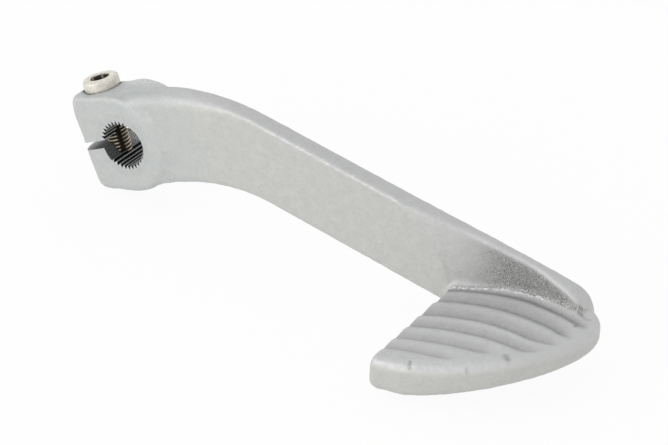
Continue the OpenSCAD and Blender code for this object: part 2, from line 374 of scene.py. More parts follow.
pad = {
    "heelX": 103.0, "heelZ": -7.51, "rise": 8.5, "wallLean": 13.0,
    "heelDepth": 10.1, "tipDepth": 5.6, "endX": 43.4, "treadMiddle": -0.5,
    # outline on the tread, from the arm along the heel, the front and the tip back to the arm
    "heelLine": [(-0.5, -1.7), (-0.7, -42.2), (-0.2, -43.8), (3.2, -44.3)],
    "frontCurve": [(3.6, -43.9), (23, -44.2), (43.6, -27.0), (43.9, -13.7)],
    "tipCurve": [(43.9, -13.7), (43.9, -7.2), (40.2, -3.5), (34.4, -1.7)],
    # edge radii: all round, then along the middle of the front and at the heel's front corner
    "topRound": 1.5, "lowRound": 1.2,
    "rollRound": 3.4, "rollAt": (17, 11), "rollFront": -34,
    "cornerLowRound": 4.9, "cornerAt": (1, -42), "cornerWidth": 6,
}


def padUnder(x):
    # height of the pad's sloping underside: z = z0 + (x - x0) tan(rise + taper)
    c, s = turnOf(pad["rise"])
    slope = math.radians(pad["rise"]) + math.atan((pad["heelDepth"] - pad["tipDepth"]) / pad["endX"])
    beyond = x - pad["heelX"] - pad["heelDepth"] * s
    return pad["heelZ"] - pad["heelDepth"] * c + beyond * math.tan(slope)


def fromTread(x, y, w):
    # tread frame to the model: shear x by w tan(lean), turn by the rise about Y, move to the heel
    u = x + w * slopeOf(pad["wallLean"])
    c, s = turnOf(pad["rise"])
    return np.stack([pad["heelX"] + u * c - w * s, y, pad["heelZ"] + u * s + w * c], -1)


def aboveTreadPlane(p):
    # height of a point over the tread plane, square to it
    c, s = turnOf(pad["rise"])
    return -(p[:, 0] - pad["heelX"]) * s + (p[:, 2] - pad["heelZ"]) * c


def straight(a, b, n):
    # n points from a, the last one short of b
    return np.array(a) + (np.array(b) - np.array(a)) * (np.arange(n) / n)[:, None]


def padBlank():
    # ring j of row i: outline(j) moved inwards by inset(i, j), between the tread and a sloping
    # underside; the edges are quarter circles
    start, heel, bevel, front = pad["heelLine"]
    outline = np.concatenate([
        straight(start, heel, 80), straight(heel, bevel, 4), straight(bevel, front, 6),
        bezier(pad["frontCurve"], np.arange(90) / 90), bezier(pad["tipCurve"], np.arange(40) / 40),
        straight(pad["tipCurve"][3], start, 60)])
    for _ in range(4):                                              # eases the corners
        outline = outline * 0.5 + (np.roll(outline, 1, 0) + np.roll(outline, -1, 0)) * 0.25
    x, y = outline.T
    taper = (pad["heelDepth"] - pad["tipDepth"]) / pad["endX"]
    under = (x * taper - pad["heelDepth"]) / (1 - taper * slopeOf(pad["wallLean"]))
    rolled = hump(x, *pad["rollAt"]) * (y < pad["rollFront"])
    corner = hump(np.hypot(x - pad["cornerAt"][0], y - pad["cornerAt"][1]), 0, pad["cornerWidth"])
    t = pad["topRound"] + (pad["rollRound"] - pad["topRound"]) * rolled
    b = pad["lowRound"] + (pad["cornerLowRound"] - pad["lowRound"]) * corner
    a = np.linspace(0, math.pi / 2, 8)[:, None]
    inset = np.concatenate([t * (1 - np.sin(a)), b * (1 - np.sin(a[::-1]))])
    w = np.concatenate([pad["treadMiddle"] - t * (1 - np.cos(a)), under + b * (1 - np.cos(a[::-1]))])
    ring = outline[None] + inwardOf(outline)[None] * inset[..., None]
    return closedSkin("padBlank", fromTread(ring[..., 0], ring[..., 1], w))


tread = {
    # each groove's Y at the listed X, from the arm outwards
    "x": [98, 105, 112, 120, 127, 135, 140, 149],
    "grooveY": [[-11.9, -9.1, -7.1, -6.2, -6.9, -9.2, -11.2, -15.8],
                [-16.7, -14.2, -12.5, -12.2, -13.0, -15.0, -17.4, -21.6],
                [-24.2, -21.6, -19.9, -19.2, -20.0, -22.2, -22.8, -25],
                [-29.5, -27.3, -25.8, -25.2, -25.6, -27.3, -26.6, -28],
                [-35.8, -33.6, -32.2, -31.6, -31.9, -33.2, -34.5, -37],
                [-40.2, -38.8, -38.0, -37.8, -38.0, -39, -40, -42]],
    "shift": (-1.1, 1.3),
    # depth and painted shade of the trough under the flash, of each groove and of the front edge, and
    # the X by which each has run out towards the tip
    "depth": [1.0, 1.15, 1.05, 1.0, 0.95, 0.8, 0.55, 0.3],
    "grime": [0.95, 0.5, 0.38, 0.35, 0.32, 0.25, 0.17, 0],
    "fadeX": [144, 145, 143.5, 142, 139.5, 130, 123],
    "fadeRun": 6, "lastRib": 5,
    "crest": 0.36,                                  # of the way from one groove to the next
    "flashX": [98.5, 103, 105.5, 110.5, 115.5, 120.5, 125.5, 130.5, 135.5, 138.5, 141.5],
    "flashY": [-10.2, -8.0, -6.7, -5.1, -3.8, -3.4, -3.8, -4.9, -6.1, -7.2, -8.9],
}

nicks = [
    # x, y of both ends on the tread, width, depth
    (108.0, -3.6, 108.7, -5.6, 0.28, 0.9), (112.5, -41.2, 113.2, -42.4, 0.3, 0.45),
    (125.8, -37.8, 127.8, -40.6, 0.25, 0.4), (124.6, -39.2, 126.6, -41.4, 0.25, 0.35),
    (131.8, -30.2, 133.4, -31.8, 0.6, 0.4), (140.2, -11.6, 140.6, -12.4, 0.35, 0.45),
]


def lineAt(x, knotsX, knotsY, shift=(0, 0)):
    # y at x on the spline through the knots
    path = through(np.stack([knotsX, knotsY], -1), np.linspace(0, 1, 200))
    return np.interp(x, path[:, 0] + shift[0], path[:, 1] + shift[1])


def flashAt(x):
    return lineAt(x, tread["flashX"], tread["flashY"])


def treadHeight(x, y):
    # between groove k and groove k + 1, with p from 0 to 1 and the crest at c:
    # -depth (1 - p/c)^1.8 behind the crest, -depth' ((p - c)/(1 - c))^1.6 in front of it. Painted shade
    # falls off from the grooves in the same way, with the power 1.4
    edges = [flashAt(x) + 0.4] + [lineAt(x, tread["x"], row, tread["shift"]) for row in tread["grooveY"]]
    edges.append(edges[-1] - tread["lastRib"])
    fades = [1 - ease(f - tread["fadeRun"], f, x) for f in tread["fadeX"]] + [np.zeros_like(x)]
    depths = [d * fade for d, fade in zip(tread["depth"], fades)]
    grimes = [g * fade for g, fade in zip(tread["grime"], fades)]
    c = tread["crest"]
    height, grime = np.zeros_like(x), np.zeros_like(x)
    for k in range(len(edges) - 1):
        p = (edges[k] - y) / (edges[k] - edges[k + 1])
        here = (p >= 0) & (p < 1)
        behind, front = np.clip(1 - p / c, 0, 1), np.clip((p - c) / (1 - c), 0, 1)
        shape = -depths[k] * behind ** 1.8 - depths[k + 1] * front ** 1.6
        shade = grimes[k] * behind ** 1.4 + grimes[k + 1] * front ** 1.4
        height, grime = np.where(here, shape, height), np.where(here, shade, grime)
    return height, grime


def toNick(x, y, nick):
    # distance from a nick's line: |p - a - f (b - a)|, f = clamp((p - a) . (b - a) / |b - a|^2)
    x0, y0, x1, y1 = nick[:4]
    dx, dy = x1 - x0, y1 - y0
    f = np.clip(((x - x0) * dx + (y - y0) * dy) / (dx * dx + dy * dy), 0, 1)
    return np.hypot(x - x0 - f * dx, y - y0 - f * dy)


root = {"fromX": 102.7, "toX": 141.4, "steep": 1.3, "cap": 3.2, "floor": -2.6, "behind": 0.15}
flashRidge = {"fromX": 102.9, "toX": 139.6, "height": 0.5, "width": 0.32, "gapX": 108.5}


def onTread(x, y, w):
    # points of the tread frame given by their model X on the tread plane, a row of y for each x
    u = (np.broadcast_to(x[:, None], y.shape) - pad["heelX"]) / turnOf(pad["rise"])[0]
    return fromTread(u, y, w)


def rootBlank():
    # flared root between the tread and the wall behind it: rises from the flash line to the wall
    # by steep * (wall y - flash y), no higher than a cap, and sinks into the tread at both ends
    x = np.linspace(root["fromX"], root["toX"], 160)
    foot = flashAt(x) - root["behind"]
    sink = 1 - ease(root["fromX"], root["fromX"] + 1.5, x)
    level = pad["heelZ"] + (x - pad["heelX"]) * slopeOf(pad["rise"])
    wall = arm["outerFace"] + pocketDepth(x, level + 1.0)
    rise = np.clip(root["steep"] * (wall - foot), 0.05, root["cap"])
    rise = rise * (1 - ease(136.5, root["toX"], x)) * ease(102, 105, x) - sink
    rise -= 0.6 * ease(137.5, root["toX"], x)
    floor = np.full_like(x, root["floor"])
    y = np.stack([foot, wall + 0.2, wall + 1.6, wall + 1.6, foot], -1)
    w = np.stack([pad["treadMiddle"] - 0.1 - sink, rise, rise, floor, floor], -1)
    return closedSkin("rootBlank", onTread(x, y, w))


def flashSkin():
    # thin jagged ribbon along the flash line. Its section is a low peak of uneven height,
    # h (0.75 + ripples), on a wider base, w (1 + ripple); both run out at the ends and at a gap
    start, end = flashRidge["fromX"], flashRidge["toX"]
    x = np.linspace(start, end, 600)
    along = np.stack([x, np.zeros_like(x), np.zeros_like(x)], -1)
    fade = ease(start, start + 1.3, x) * (1 - ease(end - 3.6, end, x))
    fade = fade * (1 - 0.9 * hump(x, flashRidge["gapX"], 0.45))
    ragged = 0.75 + 0.45 * ripple(along, 0.9, 5) + 0.3 * ripple(along, 3.0, 6)
    high = flashRidge["height"] * ragged * fade
    wide = flashRidge["width"] * (1 + 0.35 * ripple(along, 1.3, 7)) * (0.3 + 0.7 * fade)
    middle = flashAt(x) - root["behind"] + 0.12 * ripple(along, 2.2, 8)
    y = middle[:, None] + wide[:, None] * np.array([-1.0, -0.55, 0.0, 0.6, 1.0, 0.0])
    w = high[:, None] * np.array([0, 0.55, 1, 0.6, 0, 0]) + np.array([-0.35, 0, 0, 0, -0.3, -0.6])
    return closedSkin("castingFlash", onTread(x, y, w))


casting = {
    "voxel": 0.42,                                  # grid of the joined skin
    # smoothing that fills the hollows: a little everywhere, and fully at the hub's fillet, given by
    # its radius and width, and at the pad's, given by its Y and width
    "fill": 0.6, "fillRounds": 70, "fillAll": 0.15,
    "hubFillet": (15.5, 5), "padFilletY": -7.5, "padFillet": 5,
    "smooth": 0.35, "smoothRounds": 5,              # light smoothing of everything
    "troughSmooth": 0.6, "troughRounds": 9,
    "valley": 0.22, "valleyAt": (15.2, 1.3),        # depth, then radius and width
    "ridge": 0.13, "ridgeBelow": 0.55, "ridgeWidth": 0.5, "ridgeFrom": (36, 50), "ridgeTo": (112, 122),
    "wobble": 0.035,
    "sharpAbove": 38,                               # degrees
}


def joinBlanks(meshes):
    # one closed skin round the overlapping blanks, drawn on a grid of voxels
    for mesh in meshes:
        outward(mesh)
    points = [coordinates(mesh) for mesh in meshes]
    offsets = np.cumsum([0] + [len(p) for p in points[:-1]])
    triangles = [trianglesOf(mesh) + offset for mesh, offset in zip(meshes, offsets)]
    skin = meshFrom("kickLeverBody", np.concatenate(points), [], np.concatenate(triangles))
    joined = newObject("kickLeverBody", skin)
    remesh = joined.modifiers.new("skin", "REMESH")
    remesh.mode = "VOXEL"
    remesh.voxel_size = casting["voxel"] * 0.001
    applied(joined)
    for mesh in meshes:
        bpy.data.meshes.remove(mesh)
    return joined


def filleted(p, ends, n):
    # a smoothing that may only fill, strongest where the arm leaves the hub and the pad, and then
    # a light one of everything
    v = casting
    x, y, z = p.T
    nearHub = hump(np.hypot(x, z), *v["hubFillet"]) * (x > -2)
    nearPad = hump(np.hypot(x - pad["heelX"], y - v["padFilletY"]), 0, v["padFillet"]) * (z < -9)
    nearEnd = ease(126, 136, x) * hump(aboveTreadPlane(p), 0, 3) * (y > -13)
    pull = np.clip(v["fillAll"] + nearHub + nearPad + nearEnd, 0, 1) * v["fill"]
    moved = relax(p, ends, pull, v["fillRounds"])
    outwards = np.einsum("ij,ij->i", moved - p, n)
    p = p + (moved - p) * ease(-0.01, 0.06, outwards)[:, None]
    return relax(p, ends, np.full(len(p), v["smooth"]), v["smoothRounds"])


def ribbed(p, ends, n):
    # the tread's height less a hump along each nick, on the faces that look up from the tread
    # plane; then the edge of the trough under the flash is eased
    x, y, _ = p.T
    above = aboveTreadPlane(p)
    c, s = turnOf(pad["rise"])
    up = np.array([-s, 0, c])
    faceUp = ease(0.45, 0.85, n @ up) * ease(-2.2, -1.4, above) * (1 - ease(1.0, 1.6, above))
    faceUp *= (y < 0) * (x > 99)
    faceUp = relax(np.repeat(faceUp[:, None], 3, 1), ends, np.full(len(p), 0.6), 5)[:, 0]
    lift = treadHeight(x, y)[0] - pad["treadMiddle"]
    for nick in nicks:
        lift -= nick[5] * hump(toNick(x, y, nick), 0, nick[4])
    p = p + up * (lift * faceUp)[:, None]
    trough = hump(y - flashAt(x), -0.8, 1.3) * (x > 101) * (np.abs(above) < 2.4) * (y < -2.5)
    return relax(p, ends, casting["troughSmooth"] * trough, casting["troughRounds"])


def dieMarked(p, n):
    # a shallow valley round the hub, whose outer face stands proud of the arm, and the ridge left
    # by the die along the arm's front upper edge, h (0.7 + ripples)
    v = casting
    x, y, z = p.T
    front = ease(0.5, 0.9, -n[:, 1]) * (y < -6)
    valley = v["valley"] * hump(np.hypot(x, z), *v["valleyAt"]) * ease(2, 9, x) * ease(-9, -4, z)
    p[:, 1] += front * valley
    onEdge = hump(z, armTopAt(x) - v["ridgeBelow"], v["ridgeWidth"])
    ridge = onEdge * ease(*v["ridgeFrom"], x) * (1 - ease(*v["ridgeTo"], x)) * front
    p[:, 1] -= v["ridge"] * ridge * (0.7 + 0.5 * ripple(p, 3.0, 9) + 0.4 * ripple(p, 1.3, 10))
    return p


def shapeCasting(piece):
    # fillets, ribs and die marks in turn, then the unevenness of hand finishing, a wobble along
    # the normals: w (ripple + 0.7 ripple + 0.5 ripple)
    mesh = piece.data
    ends = edgeEnds(mesh)
    p = filleted(coordinates(mesh), ends, normals(mesh))
    setCoordinates(mesh, p)
    n = normals(mesh)
    p = dieMarked(ribbed(p, ends, n), n)
    wobble = casting["wobble"] * (ripple(p, 7, 1) + 0.7 * ripple(p, 3.2, 2) + 0.5 * ripple(p, 1.5, 3))
    setCoordinates(mesh, p + n * wobble[:, None])


lever = joinBlanks([hubBlank(), bossBlank(), armBlank(), padBlank(), rootBlank()])
print("lever skin", len(lever.data.vertices), "points", len(lever.data.polygons), "faces")
shapeCasting(lever)
print("casting shaped")


clamp = {
    "rootRadius": boreSize["r_mm"], "tipRadius": 6.05, "teeth": 32, "plainArc": 33.0, "lean": 24.0,
    "slotWidth": 2.2, "slotRise": 1.1,
    "leadRadius": 6.05, "leadShift": (1.1, 0.35),
    # degrees at the slot without teeth, and by how much the plain arc reaches into them
    "slotArc": 4, "overlap": 3,
    # half lengths of the cuts along the shaft, and how far the slot's cut runs out from it
    "boreCut": 9, "slotCut": 9.2, "slotReach": 22,
    # the screw's line: its lean, its distance from the shaft, its seat and the room it has
    "screwLean": round(math.degrees(math.atan2(-screwAxis[0], screwAxis[2])), 1),
    "screwOffset": 7.7, "seat": 11.2, "holeRadius": 3.1, "headPocket": 5.4,
}


def prism(name, outline, halfLength):
    # outline in X and Z carried along Y
    y = np.array([-halfLength, halfLength])[:, None]
    x, z = [np.broadcast_to(outline[:, k], (2, len(outline))) for k in (0, 1)]
    return closedSkin(name, np.stack([x, np.broadcast_to(y, x.shape), z], -1))


def boreOutline():
    # radius(angle): straight flanks between tips and roots all round, plain over the plain arc
    # and the slot beside it
    step = 360 / clamp["teeth"]
    tip, deep, arc = clamp["tipRadius"], clamp["rootRadius"], clamp["plainArc"]
    start, overlap = 180 + clamp["lean"], clamp["overlap"]
    count = int((360 - arc - clamp["slotArc"]) / step)
    middle = start + arc + (np.arange(count)[:, None] + 0.5) * step
    angle = middle + np.array([-0.44, -0.03, 0.03, 0.44]) * step
    radius = np.broadcast_to(np.array([tip, deep, deep, tip]), angle.shape)
    plain = start - overlap + (arc + overlap) * np.arange(9) / 8
    a = np.radians(np.concatenate([plain, angle.ravel()]))
    r = np.concatenate([np.full(9, deep), radius.ravel()])
    return np.stack([r * np.cos(a), r * np.sin(a)], -1)


def slotOutline():
    # rectangle from the bore's middle to past the jaws, turned by the slot's lean
    c, s = turnOf(clamp["lean"])
    h, m, far = clamp["slotWidth"] / 2, clamp["slotRise"], -clamp["slotReach"]
    x, z = np.array([(far, m - h), (0, m - h), (0, m + h), (far, m + h)]).T
    return np.stack([x * c - z * s, x * s + z * c], -1)


def atScrew(p):
    # screw frame (Z along the screw, zero at the seat) to the model: shift, then lean about Y
    c, s = turnOf(clamp["screwLean"])
    x, z = p[..., 0] - clamp["screwOffset"], p[..., 2] + clamp["seat"]
    return np.stack([x * c - z * s, p[..., 1], x * s + z * c], -1)


def screwWell():
    # pocket for the head above the seat and clearance hole below it, in one turned profile
    r, hole, top, bottom, middle = clamp["headPocket"], clamp["holeRadius"], 10, -34, 0.01
    profile = [(middle, top), (r, top), (r, 0), (hole, 0), (hole, bottom), (middle, bottom)]
    return closedSkin("screwWell", atScrew(turned(profile, 72)))


def lead():
    # cone worn into the bore's outer mouth, a little off the shaft's line
    face, wide = hub["outerFace"], clamp["leadRadius"]
    rows = turned([(wide + 1, face - 1), (wide, face), (wide - 2.5, face + 2.5)], 90)
    return closedSkin("lead", alongShaft(rows, clamp["leadShift"]))


def cut(piece, meshes):
    for mesh in meshes:
        outward(mesh)
        step = piece.modifiers.new(mesh.name, "BOOLEAN")
        step.operation = "DIFFERENCE"
        step.solver = "MANIFOLD"
        step.object = newObject(mesh.name, mesh)
    applied(piece)
    for mesh in meshes:
        bpy.data.objects.remove(bpy.data.objects[mesh.name])


boreCut = prism("bore", boreOutline(), clamp["boreCut"])
slotCut = prism("slot", slotOutline(), clamp["slotCut"])
cut(lever, [boreCut, slotCut, screwWell(), lead()])
lever.data.set_sharp_from_angle(angle=math.radians(casting["sharpAbove"]))
print("lever cut", len(lever.data.vertices), "points", len(lever.data.polygons), "faces")


screwSize = {
    "diameter": 6.0, "pitch": 1.0, "length": 20.0, "thread": 0.54, "steps": 96,
    "headDiameter": 10.0, "headHeight": 6.0, "socket": 5.0, "socketDepth": 3.2,
    "headRound": 0.85, "headDrop": 0.75,            # of the head's upper edge, inwards and down
    "sharpAbove": 40,                               # degrees
}


def screwSkin():
    # one row of rings from the socket's floor to the tip. Socket rings are hexagons,
    # r(a) = flat / 2 / cos((a mod 60) - 30); thread rings are r = root + h tri(z / pitch - a / 360)
    v, steps = screwSize, screwSize["steps"]
    a = np.arange(steps) * 2 * math.pi / steps
    hexagon = v["socket"] / 2 / np.cos((a % (math.pi / 3)) - math.pi / 6)
    top, half, root = v["headHeight"], v["headDiameter"] / 2, v["diameter"] / 2 - v["thread"]
    floor = top - v["socketDepth"]
    rings = [(hexagon * 0.25, floor - 0.55), (hexagon * 0.97, floor), (hexagon, floor + 0.06),
             (hexagon, top - 0.45), (hexagon * 1.02, top - 0.22),
             (np.maximum(hexagon, v["socket"] * 0.565), top - 0.05)]
    e = np.linspace(0, math.pi / 2, 9)
    inside = half - v["headRound"]
    rings += zip(inside + v["headRound"] * np.sin(e), top - v["headDrop"] * (1 - np.cos(e)))
    rings += [(half, top * h) for h in np.linspace(0.82, 0.08, 14)]
    rings += [(half - 0.08, 0.14), (half - 0.3, 0.0), (3.3, 0.0)]
    z = np.linspace(-0.02, 0.1 - v["length"], 230)[:, None]
    left = v["length"] + z
    phase = (z / v["pitch"] - a / (2 * math.pi)) % 1
    crest = np.clip(1.15 - np.abs(phase - 0.5) * 2.6, 0, 1)
    runOut = np.clip(np.minimum(-z / 1.2, left / 1.1), 0, 1)
    rings += zip(root + v["thread"] * crest * runOut - 0.35 * (1 - np.clip(left / 0.5, 0, 1)), z[:, 0])
    rings.append((root - 0.6, -v["length"]))
    radius = np.array([np.broadcast_to(r, steps) for r, _ in rings])
    height = np.array([h for _, h in rings])[:, None]
    rows = np.stack([radius * np.cos(a), radius * np.sin(a), np.broadcast_to(height, radius.shape)], -1)
    return closedSkin("clampScrewBody", atScrew(rows))


flash = newObject("castingFlash", flashSkin())
outward(flash.data)
screw = newObject("clampScrewBody", screwSkin())
outward(screw.data)
screw.data.set_sharp_from_angle(angle=math.radians(screwSize["sharpAbove"]))
print("flash", len(flash.data.vertices), "points, screw", len(screw.data.vertices), "points")


def addNode(tree, kind, settings=None, **inputs):
    # a shader node with its settings; inputs are values, or the sockets to link from, under the
    # input's name with _ for a space, or under i and its number
    node = tree.nodes.new("ShaderNode" + kind)
    for key, value in (settings or {}).items():
        setattr(node, key, value)
    for key, value in inputs.items():
        numbered = key[0] == "i" and key[1:].isdigit()
        socket = node.inputs[int(key[1:]) if numbered else key.replace("_", " ")]
        if isinstance(value, bpy.types.NodeSocket):
            tree.links.new(value, socket)
        else:
            socket.default_value = value
    return node


def calc(operation, first, *others):
    # the operation carried along the row, which starts with a socket
    for other in others:
        first = addNode(first.id_data, "Math", {"operation": operation}, i0=first, i1=other).outputs[0]
    return first


def product(*values):
    return calc("MULTIPLY", *values)


def ramp(value, low, high, to=(0.0, 1.0)):
    # smooth step between low and high
    node = addNode(value.id_data, "MapRange", {"interpolation_type": "SMOOTHSTEP"}, Value=value,
                   From_Min=low, From_Max=high, To_Min=to[0], To_Max=to[1])
    return node.outputs["Result"]


def heldBetween(value, low, high, soft):
    # 1 between low and high, fading to 0 over soft on both sides
    return product(ramp(value, low - soft, low), ramp(value, high + soft, high))


def mixColour(factor, *colours):
    # the first colour where the factor is 0, the second where it is 1
    a, b = [c if isinstance(c, bpy.types.NodeSocket) else c + (1.0,) for c in colours]
    return addNode(factor.id_data, "Mix", {"data_type": "RGBA"}, i0=factor, i6=a, i7=b).outputs[2]


def grain(where, scale, detail=3.0, roughness=0.55):
    return addNode(where.id_data, "TexNoise", Vector=where, Scale=scale, Detail=detail,
                   Roughness=roughness).outputs["Fac"]


def fromShaft(where):
    # distance from the shaft's line: the length of (x, 0, z)
    tree = where.id_data
    flat = addNode(tree, "VectorMath", {"operation": "MULTIPLY"}, i0=where, i1=(1.0, 0.0, 1.0))
    return addNode(tree, "VectorMath", {"operation": "LENGTH"}, i0=flat.outputs[0]).outputs["Value"]


def material(name):
    made = bpy.data.materials.new(name)
    made.use_nodes = True
    made.node_tree.nodes.clear()
    return made, made.node_tree


def placeOn(tree):
    return addNode(tree, "TexCoord").outputs["Object"]


def dress(base, metallic, roughness, height, bump):
    # fine relief and gloss; bump is its strength and its depth in metres
    tree = base.id_data
    relief = addNode(tree, "Bump", Strength=bump[0], Distance=bump[1], Height=height).outputs[0]
    shader = addNode(tree, "BsdfPrincipled", Base_Color=base, Metallic=metallic,
                     Roughness=roughness, Normal=relief)
    addNode(tree, "OutputMaterial", Surface=shader.outputs[0])


castFinish = {
    "ground": (0.535, 0.54, 0.515), "cast": (0.543, 0.546, 0.538), "mottle": (0.438, 0.442, 0.438),
    "pit": (0.085, 0.08, 0.078), "worn": (0.78, 0.785, 0.785), "grit": (0.62, 0.62, 0.615),
    "grime": (0.10, 0.098, 0.095), "hubSkin": (0.455, 0.487, 0.50),
    "cloudScale": 330, "mottleScale": 1150, "fineScale": 2600, "pitScale": 5200,
    "hubScale": 1500, "skinScale": 4200, "scatterScale": 760,
    "metallic": 0.35, "gloss": (0.45, 0.58), "bump": (0.5, 0.00005),
}


def castAlloy():
    # tumbled cast alloy. The masks painted on the points say where it was ground bright, where the
    # wall behind the pad was left rough, where edges are worn light and where shade is painted darker
    made, tree = material("castAlloy")
    where = placeOn(tree)
    x, _, z = addNode(tree, "SeparateXYZ", Vector=where).outputs
    ground, rough, worn, grime = [addNode(tree, "Attribute", {"attribute_name": name}).outputs["Fac"]
                                  for name in ("ground", "rough", "worn", "grime")]
    v = castFinish
    clouds = ramp(grain(where, v["cloudScale"], 4), 0.36, 0.66)
    mottle = grain(where, v["mottleScale"], 3, 0.65)
    fine = grain(where, v["fineScale"], 2)
    base = mixColour(ground, v["cast"], v["ground"])
    base = mixColour(product(clouds, 0.22), base, v["mottle"])
    base = mixColour(ramp(mottle, 0.42, 0.68, (0.0, 0.38)), base, v["mottle"])
    base = mixColour(ramp(fine, 0.5, 0.75, (0.0, 0.12)), base, v["worn"])
    # the hub's skin is the most mottled
    radius = fromShaft(where)
    nearHub = ramp(radius, 0.034, 0.016, (0.0, 0.65))
    speckle = ramp(grain(where, v["hubScale"], 4, 0.75), 0.42, 0.58)
    base = mixColour(product(nearHub, speckle), base, v["hubSkin"])
    # dark specks: cast skin left between hub and arm, the broach's marks round the bore, the pits
    # of the rough wall and a few scattered ones
    skin = product(heldBetween(x, 0.0135, 0.0165, 0.0022), heldBetween(z, -0.013, 0.002, 0.004),
                   ramp(grain(where, v["skinScale"], 1.5), 0.56, 0.66), ramp(clouds, 0.1, 0.7), 0.42)
    rim = heldBetween(radius, 0.0078, 0.0086, 0.0009)
    marks = product(rim, ramp(fine, 0.35, 0.62), 0.10)
    pits = product(ramp(grain(where, v["pitScale"], 1.0, 0.6), 0.57, 0.43), rough)
    scattered = ramp(grain(where, v["scatterScale"], 1.0, 0.6), 0.215, 0.17, (0.0, 0.4))
    dark = calc("MAXIMUM", product(pits, 0.82), scattered, skin, marks)
    base = mixColour(product(rough, 0.35), base, v["grit"])
    base = mixColour(dark, base, v["pit"])
    # painted shade: darker in the tread's grooves and nicks, along the hub's upper front edge and round
    # the screw's pocket
    base = mixColour(product(grime, ramp(mottle, 0.3, 0.6, (0.85, 1.0))), base, v["grime"])
    base = mixColour(product(worn, ramp(mottle, 0.36, 0.6, (0.15, 1.0))), base, v["worn"])
    height = calc("ADD", product(fine, 0.5), mottle)
    height = calc("SUBTRACT", height, product(pits, 1.5))
    dress(base, v["metallic"], ramp(fine, 0.2, 0.8, v["gloss"]), height, v["bump"])
    return made


boreFinish = {
    "crest": (0.60, 0.61, 0.60), "rootShade": (0.008, 0.010, 0.011), "speck": (0.02, 0.023, 0.024),
    "stripShade": (0.12, 0.125, 0.125), "stripLit": (0.66, 0.665, 0.67),
    "speckScale": 2600, "roughness": 0.5, "bump": (0.5, 0.00005),
}


def boreAlloy():
    # broached serrations: painted shade, near black, down in the roots, bare metal on the crests, and a
    # plain strip painted shaded at the outer face and painted lighter towards the engine side, where
    # light comes in
    made, tree = material("boreAlloy")
    where = placeOn(tree)
    v = boreFinish
    y = addNode(tree, "SeparateXYZ", Vector=where).outputs[1]
    radius = fromShaft(where)
    speck = grain(where, v["speckScale"], 2, 0.7)
    # painted shade down in the roots of the serrations
    rootShade = ramp(radius, 0.00608, 0.00630)
    plain = product(ramp(radius, 0.00704, 0.00713), rootShade)
    # painted light: the plain strip goes from shaded at the outer face to lit towards the engine side
    strip = mixColour(ramp(y, -0.001, 0.005), v["stripShade"], v["stripLit"])
    strip = mixColour(ramp(speck, 0.60, 0.42, (0.0, 0.75)), strip, v["speck"])
    base = mixColour(plain, mixColour(rootShade, v["crest"], v["rootShade"]), strip)
    dress(base, ramp(rootShade, 0.2, 0.8, (0.3, 0.0)), v["roughness"], speck, v["bump"])
    return made


slotFinish = {
    "outer": (0.40, 0.405, 0.41), "innerShade": (0.055, 0.06, 0.062), "speck": (0.16, 0.16, 0.165),
    "speckScale": 1500, "metallic": 0.2, "roughness": 0.5, "bump": (0.5, 0.00005),
}


def slotAlloy():
    # saw-cut faces of the clamp slot, with shade painted darker towards the bore
    made, tree = material("slotAlloy")
    where = placeOn(tree)
    v = slotFinish
    speck = grain(where, v["speckScale"], 3, 0.6)
    # painted shade: the slot's faces go darker towards the bore
    base = mixColour(ramp(fromShaft(where), 0.0165, 0.0095), v["outer"], v["innerShade"])
    base = mixColour(ramp(speck, 0.4, 0.7, (0.0, 0.3)), base, v["speck"])
    dress(base, v["metallic"], v["roughness"], speck, v["bump"])
    return made


steelFinish = {
    "plate": (0.66, 0.62, 0.54), "plateLight": (0.80, 0.775, 0.71), "spot": (0.25, 0.2, 0.14),
    "socket": (0.03, 0.022, 0.013), "underHead": (0.06, 0.045, 0.03),
    "root": (0.022, 0.016, 0.009), "crest": (0.90, 0.79, 0.60),
    "cloudScale": 520, "fineScale": 2600, "spotScale": 1500,
    "metallic": 0.35, "gloss": (0.34, 0.46), "bump": (0.4, 0.00004),
}


